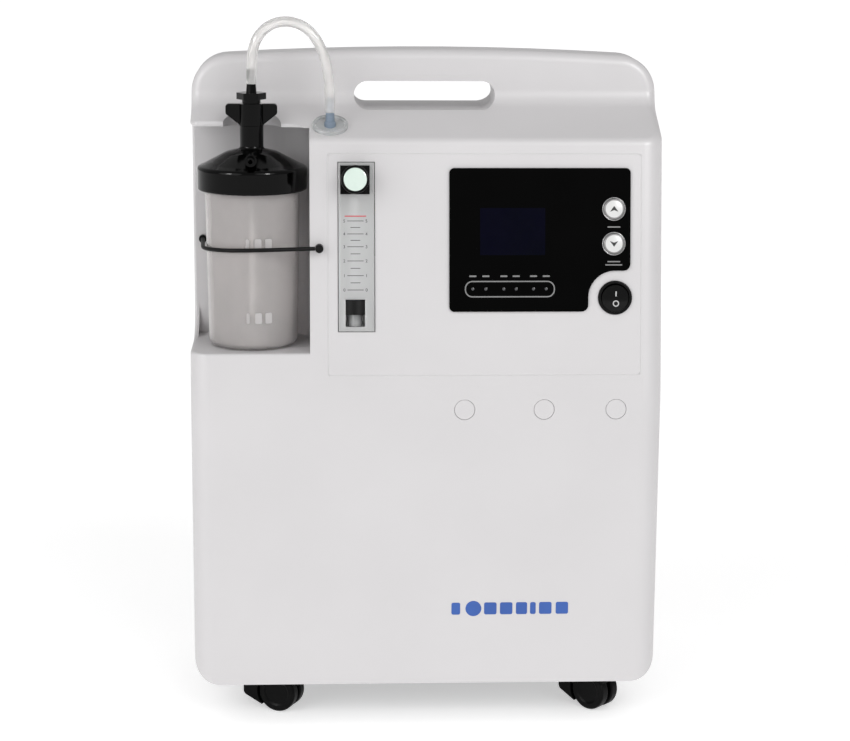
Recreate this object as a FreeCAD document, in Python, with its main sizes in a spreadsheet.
import FreeCAD, Part
import math
import os

# Oxygen concentrator on casters, with a bottle humidifier, an acrylic flowmeter and a display panel.
# Millimetres. +Z up, the front faces -Y, the origin is on the floor under the middle of the machine.

V = FreeCAD.Vector
doc = FreeCAD.newDocument("OxygenConcentrator")
sheet = doc.addObject("Spreadsheet::Sheet", "Dims")

DIMS = {
    # casing
    "body_width": 350, "body_front": 105, "body_back": 105, "body_bottom": 29, "body_top": 501,
    "wall": 3, "crown_radius": 2600, "top_corner": 28, "bottom_corner": 20, "front_corner": 15,
    "back_corner": 12, "crease_height": 253, "front_lean": 8.5, "slope_start": 439, "slope_angle": 25,
    "plate_front": 26, "plate_back": 16, "split": 4, "shell_gap": 0.4,
    "slot_height": 20.4, "slot_width": 106.2, "slot_centre": 467.2,
    # humidifier niche
    "niche_right": 86.5, "niche_back": 17, "niche_floor": 284, "niche_top": 446, "niche_corner": 26,
    "bottle_across": 129, "bottle_out": 60, "notch_radius": 22,
    # humidifier
    "jar_top_radius": 35, "jar_base_radius": 33.2, "jar_base": 284.5, "jar_top": 404, "jar_wall": 2,
    "lid_radius": 40.6, "lid_bottom": 400.5, "lid_shoulder": 417.5, "neck_radius": 8.7,
    "neck_base": 431, "neck_top": 447.5,
    # control panel, measured in the plane of the leaning front
    "panel_left": -73.5, "panel_right": 158, "panel_low": 14.7, "panel_high": 178, "panel_gap": 0.5,
    "cover_left": 16, "cover_right": 149.8, "cover_low": 61.8, "cover_high": 167.4,
    "cover_thick": 1.4, "button_across": 137.5, "up_height": 137.3, "down_height": 111.8,
    "button_radius": 7.6, "switch_across": 138.6, "switch_height": 72,
    "switch_radius": 11.8, "rocker_radius": 9.9, "rocker_tilt": 6,
    # flowmeter
    "meter_left": -65.5, "meter_right": -39, "meter_low": 47.5, "meter_high": 171.5, "meter_front": 1.6,
    "meter_depth": 22, "bore_radius": 4.2, "float_radius": 3.4, "bore_across": -53.2, "float_height": 78.1,
    "bore_low": 70, "bore_high": 146, "knob_height": 158.8, "knob_radius": 10.4,
    # outlet and tube
    "outlet_across": 71.2, "outlet_out": 60, "flange_radius": 13.4, "tube_diameter": 7.6, "tube_bore": 5.2,
    # casters
    "caster_across": 122.3, "caster_deep": 68, "wheel_radius": 15, "wheel_width": 20, "trail": 14,
    "pocket_radius": 32,
    # inner machinery
    "deck_height": 54, "motor_radius": 44, "motor_height": 122, "shaft_radius": 6,
    "bed_radius": 32, "bed_top": 300, "fan_size": 112, "fan_height": 255,
}
for row, (name, value) in enumerate(DIMS.items(), start=1):
    sheet.set("A%d" % row, name)
    sheet.set("B%d" % row, str(value))
    sheet.setAlias("B%d" % row, name)
doc.recompute()

NODES = {}


def d(name):
    """Value of one driving dimension."""
    return float(sheet.get(name))


def bind(obj, values):
    """Sets properties: text is an expression on the sheet, with its aliases plain; a number is itself."""
    for prop, value in values.items():
        if isinstance(value, str):
            obj.setExpression(prop, expand(value))
        else:
            obj.setExpression(prop, None)
            target = obj
            *path, last = prop.split(".")
            if path:
                obj.setExpression(prop, repr(float(value)))
            else:
                setattr(target, last, value)
    return obj


def expand(text):
    """Writes Dims. before each alias in an expression."""
    out = ""
    word = ""
    for ch in text + " ":
        if ch.isalnum() or ch in "_.":
            word += ch
            continue
        out += ("Dims." + word) if word in DIMS else word
        out += ch
        word = ""
    return out.strip()


def at(obj, place):
    """Puts an object at a point given as numbers or expressions."""
    for axis, value in zip("xyz", place):
        obj.setExpression("Placement.Base." + axis, expand(str(value)))
    return obj


def turned(obj, axis, angle):
    """Turns a primitive about one of its own axes, at its own base point."""
    obj.setExpression("Placement.Rotation.Axis.x", str(axis[0]))
    obj.setExpression("Placement.Rotation.Axis.y", str(axis[1]))
    obj.setExpression("Placement.Rotation.Axis.z", str(axis[2]))
    obj.setExpression("Placement.Rotation.Angle", expand(str(angle)))
    return obj


def box(x0, y0, z0, lx, ly, lz):
    """Box from its low corner and its sizes."""
    obj = doc.addObject("Part::Box", "Box")
    bind(obj, {"Length": lx, "Width": ly, "Height": lz})
    return at(obj, (x0, y0, z0))


def cylinder(x, y, z, radius, height, along="z"):
    """Cylinder from the middle of its base, along +X, +Y or +Z."""
    obj = doc.addObject("Part::Cylinder", "Cylinder")
    bind(obj, {"Radius": radius, "Height": height})
    at(obj, (x, y, z))
    if along == "x":
        turned(obj, (0, 1, 0), 90)
    if along == "y":
        turned(obj, (1, 0, 0), -90)
    return obj


def sphere(x, y, z, radius):
    obj = doc.addObject("Part::Sphere", "Sphere")
    bind(obj, {"Radius": radius})
    return at(obj, (x, y, z))


def fuse(*parts):
    obj = doc.addObject("Part::MultiFuse", "Fuse")
    obj.Shapes = list(parts)
    return obj


def common(*parts):
    obj = doc.addObject("Part::MultiCommon", "Common")
    obj.Shapes = list(parts)
    return obj


def cut(base, *tools):
    obj = doc.addObject("Part::Cut", "Cut")
    obj.Base = base
    obj.Tool = tools[0] if len(tools) == 1 else fuse(*tools)
    return obj


def group(*parts):
    """Several separate solids in one node."""
    obj = doc.addObject("Part::Compound", "Group")
    obj.Links = list(parts)
    return obj


def rounded(obj, radius, chosen):
    """Fillets the edges for which chosen(edge) is true."""
    doc.recompute()
    edges = [(i + 1, radius, radius) for i, e in enumerate(obj.Shape.Edges) if chosen(e)]
    out = doc.addObject("Part::Fillet", "Fillet")
    out.Base = obj
    out.Edges = edges
    return out


def node(label, obj, placement=None):
    """Names a finished sub-part and, where it is built in another frame, places it."""
    if placement and obj.ExpressionEngine:
        obj = group(obj)
    obj.Label = label
    if placement:
        obj.Placement = placement
    NODES[label] = obj
    return obj


def corner_arc(before, corner, after, radius):
    """Start, middle and end of the arc that rounds a corner."""
    one, two = (before - corner).normalize(), (after - corner).normalize()
    angle = one.getAngle(two)
    reach = radius / math.tan(angle / 2)
    middle_way = (one + two).normalize()
    centre = corner + middle_way * (radius / math.sin(angle / 2))
    return corner + one * reach, centre - middle_way * radius, corner + two * reach


def outline_edges(points):
    """Edges of a closed outline in the XY plane; each point is (x, y) or (x, y, corner radius)."""
    corners = [V(p[0], p[1], 0) for p in points]
    ends = []
    for i, p in enumerate(points):
        if len(p) == 3:
            ends.append(corner_arc(corners[i - 1], corners[i], corners[(i + 1) % len(corners)], p[2]))
        else:
            ends.append((corners[i], None, corners[i]))
    edges = []
    for i, (start, middle, end) in enumerate(ends):
        if middle:
            edges.append(Part.Arc(start, middle, end))
        follow = ends[(i + 1) % len(ends)][0]
        if (follow - end).Length > 1e-6:
            edges.append(Part.LineSegment(end, follow))
    return edges


PLANES = {"xy": "XY_Plane", "xz": "XZ_Plane", "yz": "YZ_Plane"}


def sketch_body(plane, edges):
    """A Body with one closed sketch on an origin plane."""
    body = doc.addObject("PartDesign::Body", "Body")
    origin = [f for f in body.Origin.OriginFeatures if f.Role == PLANES[plane]][0]
    sketch = body.newObject("Sketcher::SketchObject", "Sketch")
    sketch.AttachmentSupport = [(origin, "")]
    sketch.MapMode = "FlatFace"
    sketch.addGeometry(edges, False)
    return body, sketch


def pad(plane, points, length, both=False, raw=False):
    """A padded outline; XZ outlines grow towards -Y. both spreads the length to the two sides."""
    body, sketch = sketch_body(plane, points if raw else outline_edges(points))
    feature = body.newObject("PartDesign::Pad", "Pad")
    feature.Profile = sketch
    bind(feature, {"Length": length})
    feature.Midplane = both
    body.Tip = feature
    return body


def spin(points):
    """A turned piece: an outline of (radius, height) points about the Z axis."""
    body, sketch = sketch_body("xz", outline_edges(points))
    feature = body.newObject("PartDesign::Revolution", "Revolution")
    feature.Profile = sketch
    feature.ReferenceAxis = (sketch, ["V_Axis"])
    feature.Angle = 360
    body.Tip = feature
    return body


def placed(obj, x, y, z, axis=(0, 0, 1), angle=0):
    """Moves a body or a boolean as a whole."""
    obj.Placement = FreeCAD.Placement(V(x, y, z), FreeCAD.Rotation(V(*axis), angle))
    return obj


def swung(obj, centre, axis, angle):
    """The same piece turned about an axis through a point."""
    out = group(obj)
    out.Placement = FreeCAD.Placement(V(0, 0, 0), FreeCAD.Rotation(V(*axis), angle), V(*centre))
    return out


def route_wire(points):
    """Straight runs joined by tangent arcs, as large as the runs allow; prints each radius."""
    stops = [V(*p) for p in points]
    edges = []
    start = stops[0]
    radii = []
    for i in range(1, len(stops) - 1):
        before, after = stops[i - 1] - stops[i], stops[i + 1] - stops[i]
        turn = math.pi - before.getAngle(after)
        radius = 0.45 * min(before.Length, after.Length) / math.tan(turn / 2)
        radii.append(round(radius, 1))
        first, middle, last = corner_arc(stops[i - 1], stops[i], stops[i + 1], radius)
        edges.append(Part.LineSegment(start, first).toShape())
        edges.append(Part.Arc(first, middle, last).toShape())
        start = last
    edges.append(Part.LineSegment(start, stops[-1]).toShape())
    return Part.Wire(edges), radii


def tube(name, points, diameter, bore=0):
    """A hose or strap along a route; the volume is compared with section times length."""
    wire, radii = route_wire(points)
    first = wire.Edges[0]
    heading = first.tangentAt(first.FirstParameter)
    ring = Part.Wire(Part.makeCircle(diameter / 2, V(*points[0]), heading))
    shape = wire.makePipeShell([ring], True, False)
    area = math.pi * diameter ** 2 / 4
    if bore:
        inner = Part.Wire(Part.makeCircle(bore / 2, V(*points[0]), heading))
        shape = shape.cut(wire.makePipeShell([inner], True, False))
        area -= math.pi * bore ** 2 / 4
    print("%s: length %.1f, radii %s, volume ratio %.4f"
          % (name, wire.Length, radii, shape.Volume / (area * wire.Length)))
    obj = doc.addObject("Part::Feature", "Tube")
    obj.Shape = shape
    return obj


# ---------------------------------------------------------------- the casing as one solid
HALF = d("body_width") / 2
LEAN = math.tan(math.radians(d("front_lean")))
SLOPE = math.tan(math.radians(d("slope_angle")))
BEYOND = 8  # how far a cutting outline runs outside the casing


def front_at(height):
    """Y of the leaning front at a height."""
    return -d("body_front") + (height - d("crease_height")) * LEAN


def slope_at(depth):
    """Height of the slope under the handle at a Y."""
    return d("slope_start") + (depth - front_at(d("slope_start"))) * SLOPE


def inset_edges(edges, inset):
    """The same outline, moved inwards."""
    if not inset:
        return edges
    wire = Part.Wire([e.toShape() for e in edges]).makeOffset2D(-inset)
    out = []
    for e in wire.Edges:
        a, b = e.valueAt(e.FirstParameter), e.valueAt(e.LastParameter)
        if isinstance(e.Curve, Part.Circle):
            middle = e.valueAt((e.FirstParameter + e.LastParameter) / 2)
            out.append(Part.Arc(a, middle, b))
        else:
            out.append(Part.LineSegment(a, b))
    return out


def casing(inset):
    """Outer form of the casing, or the same form moved inwards by the wall."""
    half = HALF - inset
    low, high = d("body_bottom") - 20, d("body_top") + 20
    # leaning block with rounded upright corners
    lean_edges = outline_edges([
        (-103, low), (-d("body_front"), d("crease_height"), 90), (front_at(high), high),
        (d("body_back"), high), (d("body_back"), low)])
    block = pad("yz", inset_edges(lean_edges, inset), 2 * half, both=True, raw=True)

    def upright(e, front):
        b = e.BoundBox
        side = abs(abs(b.Center.x) - half) < 1e-3 and b.XLength < 1e-3 and b.ZLength > 5
        return side and (b.Center.y < 0) == front

    block = rounded(block, d("front_corner") - inset, lambda e: upright(e, True))
    block = rounded(block, d("back_corner") - inset,
                    lambda e: upright(e, False) and e.BoundBox.YLength < 1e-3)
    # crowned front view
    top = d("body_top") - inset
    side_top = top - half ** 2 / (2 * d("crown_radius"))
    foot = d("body_bottom") + inset
    crown = [Part.Arc(V(-half, side_top, 0), V(0, top, 0), V(half, side_top, 0)),
             Part.LineSegment(V(half, side_top, 0), V(half, foot, 0)),
             Part.LineSegment(V(half, foot, 0), V(-half, foot, 0)),
             Part.LineSegment(V(-half, foot, 0), V(-half, side_top, 0))]
    view = pad("xz", crown, 4 * d("body_back"), both=True, raw=True)

    def across(e, above):
        b = e.BoundBox
        at_side = abs(abs(b.Center.x) - half) < 1e-3 and b.YLength > d("body_back")
        return at_side and (b.Center.z > d("crease_height")) == above

    view = rounded(view, d("top_corner") - inset, lambda e: across(e, True))
    view = rounded(view, d("bottom_corner") - inset, lambda e: across(e, False))
    # side view with the slope, the handle plate and the back slope
    ahead, behind = -d("body_front") - BEYOND, d("body_back") + BEYOND
    side_edges = outline_edges([
        (ahead, d("body_bottom")), (ahead, slope_at(ahead)),
        (-d("plate_front"), slope_at(-d("plate_front")), 14), (-d("plate_front"), high),
        (d("plate_back"), high), (d("plate_back"), 466, 16), (behind, 430), (behind, d("body_bottom"))])
    side = pad("yz", inset_edges(side_edges, inset), 3 * HALF, both=True, raw=True)
    return common(block, view, side)


def plate_edge(depth):
    """Picks the crowned edges of the handle plate at one face."""
    def chosen(e):
        b = e.BoundBox
        return abs(b.YMin - depth) < 1e-3 and abs(b.YMax - depth) < 1e-3 and b.ZMax > 478
    return chosen


outer = casing(0)
outer = rounded(outer, 7, plate_edge(-d("plate_front")))
outer = rounded(outer, 6, plate_edge(d("plate_back")))
inner = casing(d("wall"))


# ---------------------------------------------------------------- openings cut from the casing
def niche_tools(grow):
    """Space for the humidifier: the niche, its open front above the ledge and the neck notch."""
    right, back = -d("niche_right") + grow, -d("niche_back") + grow
    low, high = d("niche_floor") - grow, d("niche_top") + grow
    far, ahead = -HALF - 2 * BEYOND, -d("body_front") - 2 * BEYOND
    stub = -HALF + 3.5
    main = placed(pad("xy", [(stub, ahead), (right, ahead), (right, back, d("niche_corner") + grow),
                             (stub, back)], high - low), 0, 0, low)
    side = placed(pad("yz", [(ahead, low), (back, low, 24), (back, high, 4), (ahead, high)],
                      stub - far), far, 0, 0)
    above = high - 1
    if grow:
        # the ledge over the niche is solid, so the cavity keeps clear of it as a whole
        return [main, side, placed(pad("xy", [(far, ahead), (right, ahead), (right, -34), (far, -34)], 60),
                                   0, 0, above)]
    mouth = pad("xy", [(far, ahead), (right, ahead), (right, -57, 15), (far, -57)], 60)
    reach, round_end = d("notch_radius"), -d("bottle_out") + d("notch_radius")
    left_edge, right_edge = -d("bottle_across") - reach, -d("bottle_across") + reach
    notch = pad("xy", [(left_edge, ahead), (right_edge, ahead), (right_edge, round_end, reach * 0.999),
                       (left_edge, round_end, reach * 0.999)], 60)
    return [main, side, placed(mouth, 0, 0, above), placed(notch, 0, 0, above)]


def slot_tool(grow):
    """The grip slot through the handle plate."""
    half_wide, half_high = d("slot_width") / 2 + grow, d("slot_height") / 2 + grow
    outline = [(-half_wide, -half_high, half_high * 0.999), (half_wide, -half_high, half_high * 0.999),
               (half_wide, half_high, half_high * 0.999), (-half_wide, half_high, half_high * 0.999)]
    return placed(pad("xz", outline, 4 * HALF, both=True), 0, 0, d("slot_centre"))


PANEL = FreeCAD.Placement(V(0, -d("body_front"), d("crease_height")),
                          FreeCAD.Rotation(V(1, 0, 0), 90 - d("front_lean")))


def panel_rect(grow, low, high, radius=2):
    """Control-panel outline grown by an amount, from low to high along the panel's normal."""
    left, right = d("panel_left") - grow, d("panel_right") + grow
    foot, head = d("panel_low") - grow, d("panel_high") + grow
    obj = pad("xy", [(left, foot, radius), (right, foot, radius), (right, head, radius),
                     (left, head, radius)], high - low)
    return placed(obj, 0, 0, low)


panel_opening = panel_rect(0, -6, 6)
panel_opening.Placement = PANEL * FreeCAD.Placement(V(0, 0, -6), FreeCAD.Rotation())

shaped = cut(outer, *niche_tools(0), slot_tool(0), panel_opening)
shaped = rounded(shaped, 2, lambda e: abs(e.BoundBox.Center.z - d("niche_floor")) < 0.01
                 and e.BoundBox.ZLength < 0.01 and e.BoundBox.YMax < -80 and e.BoundBox.XLength > 50)
hollow = cut(inner, *niche_tools(d("wall")), slot_tool(d("wall")))
shell = cut(shaped, hollow)

# ---------------------------------------------------------------- the two shells and the base tray
PLUGS = [(27.5, 242), (86.5, 242), (140, 242)]
CORNERS = [("front_left", -1, -1, -25), ("front_right", 1, -1, -45),
           ("rear_left", -1, 1, -20), ("rear_right", 1, 1, 30)]
INLET = {"x": 60, "z": 78, "wide": 48, "high": 28}
BREAKER = {"x": 8, "z": 78, "radius": 7}
GRILLE = {"x": 30, "z": d("fan_height"), "radius": 50}
INTAKE = {"x": -104, "z": 210, "wide": 92, "high": 120}
TRAY_HALF = 150


def caster_spaces(radius, top):
    """One upright cylinder per caster, from below the casing to a height."""
    return [cylinder(sx * d("caster_across"), sy * d("caster_deep"), 20, radius, top - 20)
            for _, sx, sy, _ in CORNERS]


tray_opening = box(-TRAY_HALF, -95.4, 20, 2 * TRAY_HALF, 192.8, 13)
front_half = box(-300, -300, 0, 600, "300 - split", 600)
plug_wells = [cylinder(x, -103.2, z, 9.6, 6, "y") for x, z in PLUGS]
plug_holes = [cylinder(x, -112, z, 7.7, 11, "y") for x, z in PLUGS]
plug_holes += [cylinder(x, -112, z, 2.6, 30, "y") for x, z in PLUGS]
fixings = [cylinder("-outlet_across", "-outlet_out", 425, 6.5, 40),
           cylinder(-79.5, -100, 361, 2.1, 30, "y"), cylinder(-168, -22, 357, 2.1, 12, "y")]
node("front_shell", cut(fuse(common(shell, front_half), *plug_wells), tray_opening,
                        *caster_spaces("pocket_radius", 36), *plug_holes, *fixings))

back_half = box(-300, "-split + shell_gap", 0, 600, 300, 600)
rear_holes = [box(h["x"] - h["wide"] / 2, 95, h["z"] - h["high"] / 2, h["wide"], 20, h["high"])
              for h in (INLET, INTAKE)]
rear_holes += [cylinder(h["x"], 95, h["z"], h["radius"], 20, "y") for h in (BREAKER, GRILLE)]
duct = box(INTAKE["x"] - INTAKE["wide"] / 2 - 3, 87, INTAKE["z"] - INTAKE["high"] / 2 - 3,
           INTAKE["wide"] + 6, 16, INTAKE["high"] + 6)
duct_space = box(INTAKE["x"] - INTAKE["wide"] / 2 + 3, 80, INTAKE["z"] - INTAKE["high"] / 2 + 3,
                 INTAKE["wide"] - 6, 21, INTAKE["high"] - 6)
rear_holes[1] = box(INTAKE["x"] - INTAKE["wide"] / 2, 102, INTAKE["z"] - INTAKE["high"] / 2,
                    INTAKE["wide"], 20, INTAKE["high"])
node("rear_shell", cut(fuse(common(shell, back_half), duct), duct_space,
                       box(-TRAY_HALF, -95.4, 20, 2 * TRAY_HALF, 192.8, 13),
                       *caster_spaces("pocket_radius", 36), *rear_holes))

# base tray: a floor between the shells and a round pocket over each caster
floor = common(casing(d("wall") + 0.3), fuse(box(-171, -100, 30, 342, 202, 5), *caster_spaces(34, 38.5)))
plug_in = box(-TRAY_HALF + 0.4, -95, "body_bottom", 2 * TRAY_HALF - 0.8, 192, 4)
vents = [box(x, -60, 20, 3, 26, 20) for x in range(-36, 40, 8)]
node("base_tray", cut(fuse(floor, plug_in), *caster_spaces("pocket_radius", 36), *vents,
                      *caster_spaces(9, 45)))

# ---------------------------------------------------------------- front plugs over the casing screws
node("screw_plugs", group(*[
    fuse(cylinder(x, -104.6, z, 7.4, 3, "y"), cylinder(x, -102, z, 2.4, 8, "y")) for x, z in PLUGS]))

# ---------------------------------------------------------------- control panel and what sits in it
RIM = 3.2  # the flange lies behind the casing wall
face = fuse(panel_rect(-d("panel_gap"), -RIM - 2, 0), panel_rect(3, -RIM - 2, -RIM))
meter_wide = d("meter_right") - d("meter_left")
meter_tall = d("meter_high") - d("meter_low")
BUTTONS = [("up_button", d("up_height")), ("down_button", d("down_height"))]
holes = [box(d("meter_left") - 0.5, d("meter_low") - 0.5, -20, meter_wide + 1, meter_tall + 1, 40),
         box(37, 101.5, -20, 52, 39, 40), box(25, 73, -20, 72, 11, 40),
         cylinder("switch_across", "switch_height", -20, "switch_radius + 0.3", 40)]
holes += [cylinder("button_across", up, -20, "button_radius + 0.4", 40) for _, up in BUTTONS]
back_relief = panel_rect(-3, -RIM - 3, -2.6)
node("control_panel", cut(face, back_relief, *holes), PANEL)

cover_notch = d("switch_across") - 19.9
cover_step = d("switch_height") + 19.9
cover_blank = pad("xy", [
    (d("cover_left"), d("cover_low"), 3.7), (cover_notch, d("cover_low"), 5),
    (cover_notch, cover_step, 19.8), (d("cover_right"), cover_step, 5),
    (d("cover_right"), d("cover_high"), 3.7), (d("cover_left"), d("cover_high"), 3.7)], "cover_thick")
node("display_cover", cut(cover_blank, *[
    cylinder("button_across", up, -5, "button_radius + 0.3", 20) for _, up in BUTTONS]), PANEL)

node("lcd_module", box(37.6, 102.1, -5, 50.8, 37.8, 4.8), PANEL)
LEDS = [33.3, 42.9, 56.2, 65.3, 78.1, 87.5]
node("led_strip", fuse(box(25.6, 73.6, -5, 70.8, 9.8, 2), *[
    cylinder(x, 78.5, -3, 1.5, 2.8) for x in LEDS]), PANEL)
board = cut(box(22, 56, -13.6, 134, 116, 1.6), cylinder("switch_across", "switch_height", -20, 13.5, 20))
tacts = [box(d("button_across") - 3, up - 3, -12, 6, 6, 3.5) for _, up in BUTTONS]
POSTS = [(40, 105), (86, 105), (40, 137), (86, 137), (30, 78), (92, 78)]
posts = [cylinder(x, y, -12, 2, 7) for x, y in POSTS]
node("display_board", fuse(board, *tacts, *posts), PANEL)

for label, up in BUTTONS:
    cap = rounded(cylinder("button_across", up, -4, "button_radius", 6.4), 1,
                  lambda e: e.BoundBox.ZLength < 1e-6 and e.BoundBox.ZMax > 2)
    node(label, fuse(cap, cylinder("button_across", up, -7, 2, 3.5)), PANEL)

PIVOT = -2.5
SWITCH_X, SWITCH_Y = d("switch_across"), d("switch_height")
bezel = placed(spin([(10.6, -12), (10.6, 1.6), (12.6, 1.6, 0.7), (12.6, 0), (d("switch_radius"), 0),
                     (d("switch_radius"), -18), (0, -18), (0, -12)]), SWITCH_X, SWITCH_Y, 0)
pivot_pin = cylinder(SWITCH_X - 11, SWITCH_Y, PIVOT, 1, 22, "x")
node("switch_bezel", fuse(bezel, pivot_pin, cylinder(SWITCH_X, SWITCH_Y, -24, 4, 6.2)), PANEL)

rocker_side = pad("yz", [(-10.3, 5.6), (0, 3.6, 14), (10.3, 5.6), (10.3, 0), (0, -5.5), (-10.3, 0)], 24,
                  both=True)
rocker = cut(common(rocker_side, cylinder(0, 0, -8, "rocker_radius", 20)), cylinder(-12, 0, 0, 1.2, 24, "x"))
ROCKER = PANEL * FreeCAD.Placement(V(SWITCH_X, SWITCH_Y, PIVOT),
                                   FreeCAD.Rotation(V(1, 0, 0), d("rocker_tilt")))
node("power_rocker", rocker, ROCKER)

# ---------------------------------------------------------------- flowmeter
BORE_DEEP = -6
block = box("meter_left", "meter_low", "meter_front - meter_depth", meter_wide, meter_tall, "meter_depth")
block = rounded(block, 1, lambda e: e.BoundBox.ZMin > 0)
bore = cylinder("bore_across", "bore_low", BORE_DEEP, "bore_radius", "bore_high - bore_low", "y")
seat_room = cylinder("bore_across", 51, BORE_DEEP, 10.45, 20, "y")
stem_room = cylinder("bore_across", "knob_height", -11, 3.3, 20)
back_ports = [cylinder("bore_across", up, -25, 2.6, 8) for up in (56, 140)]
node("flowmeter_body", cut(block, bore, seat_room, stem_room, *back_ports), PANEL)
node("meter_seat", fuse(cylinder("bore_across", 51.2, BORE_DEEP, 4.9, 19.6, "y"),
                        cylinder("bore_across", 70.6, BORE_DEEP, 1.6, "float_height - 74.2", "y")), PANEL)
node("meter_gasket", cut(cylinder("bore_across", 59.8, BORE_DEEP, 10.4, 10.8, "y"),
                         cylinder("bore_across", 50, BORE_DEEP, 4.95, 30, "y")), PANEL)
node("meter_fittings", group(*[
    fuse(cylinder("bore_across", up, -38, 2.5, 21), cylinder("bore_across", up, -24.4, 5, 4))
    for up in (56, 140)]), PANEL)
node("float_ball", sphere("bore_across", "float_height", BORE_DEEP, "float_radius"), PANEL)
node("flow_bonnet", cut(box(-64, 148.2, "meter_front", 21.5, 21, 2.6),
                        cylinder("bore_across", "knob_height", 0, 3.3, 20)), PANEL)
knob = rounded(cylinder("bore_across", "knob_height", 4.6, "knob_radius", 11), 1.2,
               lambda e: e.BoundBox.ZMin > 15)
node("flow_knob", cut(fuse(knob, cylinder("bore_across", "knob_height", -10, 3, 15)),
                      cylinder("bore_across", "knob_height", 14.6, 8.6, 5)), PANEL)
node("knob_cap", rounded(cylinder("bore_across", "knob_height", 14.6, 8.5, 1.8), 0.8,
                         lambda e: e.BoundBox.ZMin > 16), PANEL)

# ---------------------------------------------------------------- humidifier
BX, BY = -d("bottle_across"), -d("bottle_out")
jar_top, base, wall = d("jar_top") - 0.3, d("jar_base"), d("jar_wall")
node("humidifier_jar", placed(spin([
    (0, base), (d("jar_base_radius"), base, 5), (d("jar_top_radius"), jar_top),
    (d("jar_top_radius") - wall, jar_top), (d("jar_base_radius") - wall, base + 2.5, 3), (0, base + 2.5)]),
    BX, BY, 0))
rim, low, shoulder = d("lid_radius"), d("lid_bottom"), d("lid_shoulder")
neck, neck_base, neck_top = d("neck_radius"), d("neck_base"), d("neck_top")
PORT_HEIGHT = 425.5
port = fuse(cylinder(BX, BY - 35, PORT_HEIGHT, 4.5, 23, "y"), cylinder(BX, BY - 42, PORT_HEIGHT, 3, 7.1, "y"))
dome = placed(spin([
    (5, 427), (28, 419.5), (31, 406.2), (35.4, 406.2), (35.4, low), (rim, low, 1.5), (rim, shoulder, 3),
    (35, shoulder + 2.5, 20), (19, 428.5, 20), (neck, neck_base, 2), (neck, neck_top), (5, neck_top)]),
    BX, BY, 0)
node("humidifier_lid", cut(fuse(dome, port), cylinder(BX, BY - 45, PORT_HEIGHT, 1.6, 40, "y")))
node("lid_gasket", cut(cylinder(BX, BY, "jar_top", 35, 2.2), cylinder(BX, BY, "jar_top - 1", 31.6, 5)))
wings = pad("xz", [(-19, 463.8, 2.5), (19, 463.8, 2.5), (19, 456.5, 2.5), (8, 447.8), (-8, 447.8),
                   (-19, 456.5, 2.5)], 6.5, both=True)
wings = placed(wings, BX, BY, 0)
node("wing_nut", cut(fuse(wings, cylinder(BX, BY, 447.8, 9.2, 16)), cylinder(BX, BY, 440, 6.3, 30)))
stem = placed(spin([(1.5, 425), (4.8, 425), (4.8, 448), (6, 448), (6, 464.2), (6.8, 464.2), (6.8, 467.2),
                    (3.9, 467.2), (3.9, 472), (3.4, 478), (2.5, 478), (2.5, 489, 0.6), (1.5, 489)]),
              BX, BY, 0)
hexagon = doc.addObject("Part::Prism", "Hexagon")
bind(at(hexagon, (BX, BY, 467)), {"Polygon": 6, "Circumradius": 10.9, "Height": 4.8})
node("tube_adapter", fuse(stem, cut(hexagon, cylinder(BX, BY, 460, 3, 20))))
node("dip_tube", cut(cylinder(BX, BY, 304, 3, 120.9), cylinder(BX, BY, 300, 1.8, 130)))
node("bubble_diffuser", rounded(cylinder(BX, BY, 290, 6, 14), 1.2, lambda e: e.BoundBox.ZLength < 1e-6))

STRAP = [(-168, -20.6, 357), (-165.3, -73.2, 358), (-148.3, -93.5, 359.5), (-122.6, -98.2, 360.5),
         (-82.7, -94, 361)]
node("bottle_strap", tube("bottle_strap", STRAP, 3))
node("strap_studs", group(
    fuse(cylinder(-79.5, -96, 361, 3, 6.5, "y"), cylinder(-79.5, -89, 361, 2, 6, "y")),
    fuse(cylinder(-168, -20.5, 357, 3, 3.5, "y"), cylinder(-168, -17.1, 357, 2, 6, "y"))))

# ---------------------------------------------------------------- oxygen outlet and its tube
OX, OY = -d("outlet_across"), -d("outlet_out")
tilt = FreeCAD.Placement(V(OX, OY, slope_at(OY)), FreeCAD.Rotation(V(1, 0, 0), d("slope_angle")))
dish = spin([(0, 0), (d("flange_radius"), 0), (d("flange_radius"), 2.6, 1), (11, 2.6, 1), (10.4, 0.9),
             (0, 0.9)])
dish.Placement = tilt
node("outlet_flange", cut(dish, cylinder(OX, OY, 430, 4.5, 40)))
node("outlet_nozzle", placed(spin([(1.5, 426), (4.3, 426), (4.3, 450), (3.4, 451), (3.2, 457), (2.5, 457),
                                   (2.5, 468, 0.6), (1.5, 468)]), OX, OY, 0))
TUBE = [(-129.0, -60, 478.1), (-128.6, -60, 491.0), (-127.4, -60, 505.5), (-121.8, -60, 516.0),
        (-112.3, -60, 522.6), (-100.9, -60, 524.0), (-89.9, -60, 520.3), (-81.7, -60, 512.2),
        (-75.8, -60, 500.6), (-72.4, -60, 487.1), (-71.2, -60, 472.2), (-71.2, -60, 457.1)]
node("oxygen_tube", tube("oxygen_tube", TUBE, d("tube_diameter"), d("tube_bore")))

# ---------------------------------------------------------------- casters
# Each is a hood with its stem, and a pair of wheels on one axle, trailing behind the stem.
node("caster_sockets", group(*[
    cut(fuse(cylinder(x, y, 36.2, 8.9, "deck_height - 36.2"), cylinder(x, y, 38.5, 12, 2)),
        cylinder(x, y, 30, 5.55, 23.4))
    for x, y in [(sx * d("caster_across"), sy * d("caster_deep")) for _, sx, sy, _ in CORNERS]]))


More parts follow.
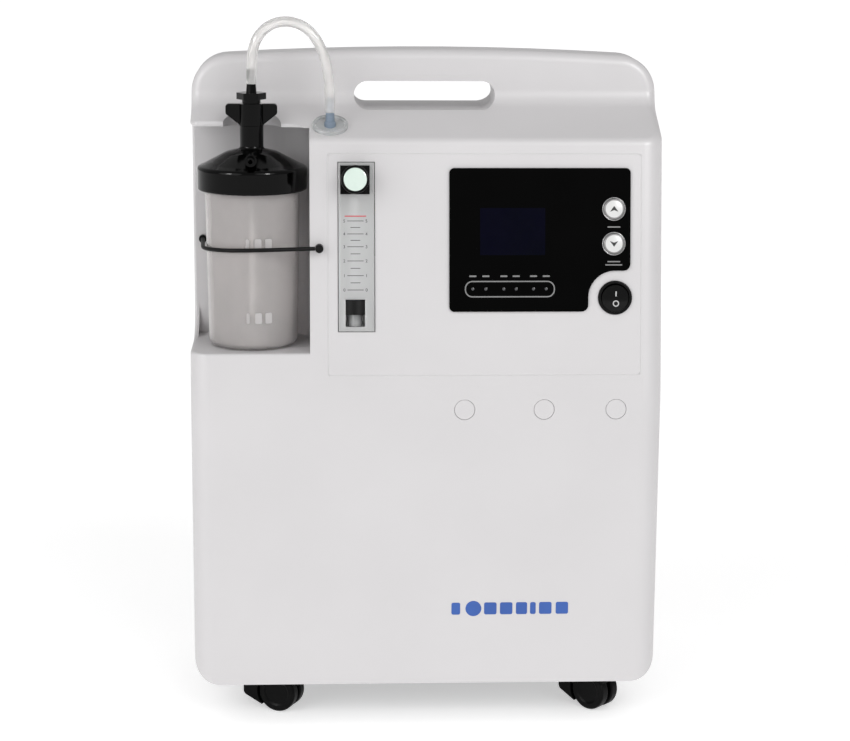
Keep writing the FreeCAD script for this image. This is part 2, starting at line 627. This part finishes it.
def caster(corner, sx, sy, yaw):
    """One swivelling twin-wheel caster, turned to its resting direction."""
    here = FreeCAD.Placement(V(sx * d("caster_across"), sy * d("caster_deep"), 0),
                             FreeCAD.Rotation(V(0, 0, 1), yaw))
    wheel, trail, half = d("wheel_radius"), d("trail"), d("wheel_width") / 2
    hood = pad("xz", [(-13.5, 35, 2), (29.6, 35, 9), (29.6, 24), (24, 22), (22, 13, 4), (trail, 8.5, 4),
                      (2, 4.5, 1), (-13.5, 11.5, 4)], 2 * half + 1.2, both=True)
    spaces = [cylinder(trail, 1.7, wheel, wheel + 0.8, 20, "y"),
              cylinder(trail, -21.7, wheel, wheel + 0.8, 20, "y"),
              cylinder(trail, -10, wheel, 2.55, 20, "y")]
    node("caster_housing_" + corner, cut(fuse(hood, cylinder(0, 0, 34, 5.5, 19)), *spaces), here)
    pair = spin([(0, 0.8 - half), (9, 0.8 - half), (10.5, -half), (wheel, -half, 2), (wheel, -2, 1.5),
                 (2.5, -2), (2.5, 2), (wheel, 2, 1.5), (wheel, half, 2), (10.5, half), (9, half - 0.8),
                 (0, half - 0.8)])
    node("caster_wheels_" + corner, pair,
         here * FreeCAD.Placement(V(trail, 0, wheel), FreeCAD.Rotation(V(1, 0, 0), -90)))


for corner in CORNERS:
    caster(*corner)


# ---------------------------------------------------------------- rear: filter door, grille, inlet, breaker
def louvres(x, z, wide, rows, pitch, y):
    """Rows of level slots about a point of the rear wall."""
    return [box(x - wide / 2, y, z + (i - (rows - 1) / 2) * pitch - 1.5, wide, 10, 3) for i in range(rows)]


IX, IZ = INTAKE["x"], INTAKE["z"]
door = box(IX - INTAKE["wide"] / 2 + 0.3, 102.1, IZ - INTAKE["high"] / 2 + 0.3,
           INTAKE["wide"] - 0.6, 2.9, INTAKE["high"] - 0.6)
grip = cylinder(IX - 16, 105, IZ - 52, 5, 32, "x")
node("intake_door", cut(door, grip, *louvres(IX, IZ + 6, 70, 13, 7, 98)))
node("foam_filter", box(IX - 42, 89, IZ - 56, 84, 12, 112))

GX, GZ, GR = GRILLE["x"], GRILLE["z"], GRILLE["radius"]
rings = [cut(cylinder(GX, 95, GZ, r + 5, 20, "y"), cylinder(GX, 94, GZ, r, 22, "y"))
         for r in range(10, 42, 8)]
spokes = [swung(box(GX - 1.6, 90, GZ - 60, 3.2, 30, 120), (GX, 0, GZ), (0, 1, 0), turn)
          for turn in (0, 60, 120)]
grille_disc = fuse(cylinder(GX, 102, GZ, GR - 0.2, 3, "y"), cylinder(GX, 99.5, GZ, GR + 3, 2.5, "y"))
node("rear_grille", cut(grille_disc, cut(fuse(*rings), fuse(*spokes))))

NX, NZ = INLET["x"], INLET["z"]
inlet = fuse(box(NX - 23.8, 101, NZ - 13.8, 47.6, 4, 27.6), box(NX - 27, 99, NZ - 17, 54, 3, 34),
             box(NX - 15, 80, NZ - 11.5, 30, 20, 23))
socket = placed(pad("xz", [(-12, -8.3, 1.5), (12, -8.3, 1.5), (12, 4, 1), (7.5, 8.3, 1), (-7.5, 8.3, 1),
                           (-12, 4, 1)], 22), NX, 106, NZ)
PINS = [(-7, -1.5), (0, 2.5), (7, -1.5)]
node("power_inlet", cut(inlet, socket, *[box(NX + x - 1, 70, NZ + z - 2, 2, 20, 4) for x, z in PINS]))
node("inlet_pins", group(*[box(NX + x - 1, 74, NZ + z - 2, 2, 27, 4) for x, z in PINS]))

RX, RZ = BREAKER["x"], BREAKER["z"]
node("breaker_body", cut(fuse(cylinder(RX, 101, RZ, 6.8, 4, "y"), cylinder(RX, 99, RZ, 9.5, 3, "y"),
                              box(RX - 9, 74, RZ - 9, 18, 25, 18)),
                         cylinder(RX, 92, RZ, 3.2, 20, "y")))
node("breaker_button", rounded(cylinder(RX, 96.2, RZ, 2.9, 8.8, "y"), 0.6, lambda e: e.BoundBox.YMin > 104))

# ---------------------------------------------------------------- cooling fan
FX, FZ, FAN = GX, GZ, d("fan_size")
HUB = 18
FAN_FRONT, FAN_DEEP = 60, 25
ring = cut(box(FX - FAN / 2, FAN_FRONT, FZ - FAN / 2, FAN, FAN_DEEP, FAN),
           cylinder(FX, FAN_FRONT - 5, FZ, FAN / 2 - 3, 40, "y"))
arms = [swung(box(FX - 2, FAN_FRONT, FZ - FAN / 2, 4, 4, FAN), (FX, 0, FZ), (0, 1, 0), turn)
        for turn in (45, 135)]
node("fan_frame", cut(fuse(ring, cylinder(FX, FAN_FRONT, FZ, HUB, 5, "y"),
                           common(fuse(*arms), cylinder(FX, FAN_FRONT, FZ, FAN / 2, 4, "y"))),
                      cylinder(FX, FAN_FRONT - 1, FZ, 3.05, 10, "y")))
blade = swung(box(FX + HUB - 4, 72.5, FZ - 9, 36, 1.8, 18), (FX, 73.4, FZ), (1, 0, 0), 35)
blades = [swung(blade, (FX, 0, FZ), (0, 1, 0), i * 360 / 7) for i in range(7)]
node("fan_rotor", fuse(cylinder(FX, 65.4, FZ, HUB, 17, "y"), cylinder(FX, 61, FZ, 3, 5, "y"), *blades))

# ---------------------------------------------------------------- compressor: motor, two crankcases and heads
MX, MY, MZ, MR = -20, 5, d("motor_height"), d("motor_radius")
SHAFT = d("shaft_radius")
crank_boxes = []
for side in (-1, 1):
    x = MX + side * 68
    crank_boxes.append(box(x - 18, MY - 38, 76, 36, 76, 72))
    crank_boxes.append(box(x - 14, MY - 20, 148, 28, 40, 30))
    crank_boxes += [box(x - 17, MY - 23, 178 + 5 * i, 34, 46, 2.5) for i in range(2)]
    crank_boxes.append(box(x - 12, MY - 18, 176, 24, 36, 12))
motor = cylinder(MX - 50.5, MY, MZ, MR, 101, "x")
node("compressor_body", cut(fuse(motor, *crank_boxes), cylinder(MX - 90, MY, MZ, SHAFT + 0.05, 180, "x")))
FANS = [MX - 101, MX + 90]
vanes = [swung(box(x, MY - 2, MZ, 11, 4, 34), (0, MY, MZ), (1, 0, 0), 45 * i) for x in FANS for i in range(8)]
node("compressor_shaft", fuse(cylinder(MX - 101, MY, MZ, SHAFT, 202, "x"), *vanes,
                              *[cylinder(x, MY, MZ, 13, 11, "x") for x in FANS]))
feet = [(MX + sx * 68, MY + sy * 28) for sx in (-1, 1) for sy in (-1, 1)]
node("compressor_mounts", group(*[cylinder(x, y, "deck_height + 2", 9, 20) for x, y in feet]))

# ---------------------------------------------------------------- gas columns and manifold
BEDS = [(131, 58), (131, -16)]
columns = [(x, y, d("bed_radius"), d("bed_top")) for x, y in BEDS] + [(-140, 60, 26, 330)]


def column(x, y, radius, top):
    """A closed cylinder with a rolled rim at each end, standing on the deck."""
    foot = d("deck_height") + 2
    can = rounded(cylinder(x, y, foot, radius - 1.5, top - foot), 3, lambda e: e.BoundBox.ZLength < 1e-6)
    return fuse(can, cylinder(x, y, foot + 6, radius, 8), cylinder(x, y, top - 14, radius, 8))


node("sieve_beds", group(*[column(*c) for c in columns[:2]]))
node("oxygen_tank", column(*columns[2]))
valves = [cylinder(x, y, 318, 12, 30) for x, y in BEDS]
node("valve_manifold", fuse(box(100, -47, "bed_top", 62, 136, 18), *valves,
                            *[box(118, y - 13, 322, 26, 26, 16) for _, y in BEDS]))

# ---------------------------------------------------------------- cooling coil, chassis and control board
LEFT, RIGHT, ROWS = -30, 86, [216, 240, 264, 288]
COIL = []
for i, z in enumerate(ROWS):
    ends = (LEFT, RIGHT) if i % 2 == 0 else (RIGHT, LEFT)
    COIL += [(x, 48, z) for x in ends]
coil = node("cooling_coil", tube("cooling_coil", COIL, 8))
deck = box(-166, -88, "deck_height", 332, 180, 2)
legs = [box(x - 6, y - 6, 35, 12, 12, "deck_height - 35") for x in (-60, 70) for y in (-50, 70)]
bulkhead = cut(box(-106, 58, "deck_height", 200, 2, 366), cylinder(FX, 50, FZ, FAN / 2 - 6, 20, "y"))
clips = [box(x - 4, 50, z - 7, 8, 9, 14) for x in (-24, 80) for z in ROWS]
standoffs = [cylinder(x, 54, z, 3, 4.2, "y") for x in (-52, 62) for z in (340, 408)]
node("chassis_frame", cut(fuse(deck, bulkhead, *legs, *clips, *standoffs), coil))
node("control_board", fuse(box(-60, 52.4, 332, 130, 1.6, 84), box(-50, 30, 345, 34, 22.5, 40),
                           box(0, 38, 350, 44, 14.5, 10), box(0, 42, 380, 26, 10.5, 22),
                           *[cylinder(x, 40, 372, 6, 13, "y") for x in (36, 52)]))

# ---------------------------------------------------------------- checks and export
doc.recompute()
for obj in doc.Objects:
    if "Invalid" in obj.State or "Error" in obj.State:
        raise RuntimeError("failed: %s %s" % (obj.Name, obj.Label))
for label, obj in NODES.items():
    if obj.Shape.isNull() or not obj.Shape.isValid():
        raise RuntimeError("bad shape: " + label)
os.makedirs("parts", exist_ok=True)
for label, obj in NODES.items():
    obj.Shape.exportStep("parts/" + label + ".step")
print(len(NODES), "nodes")
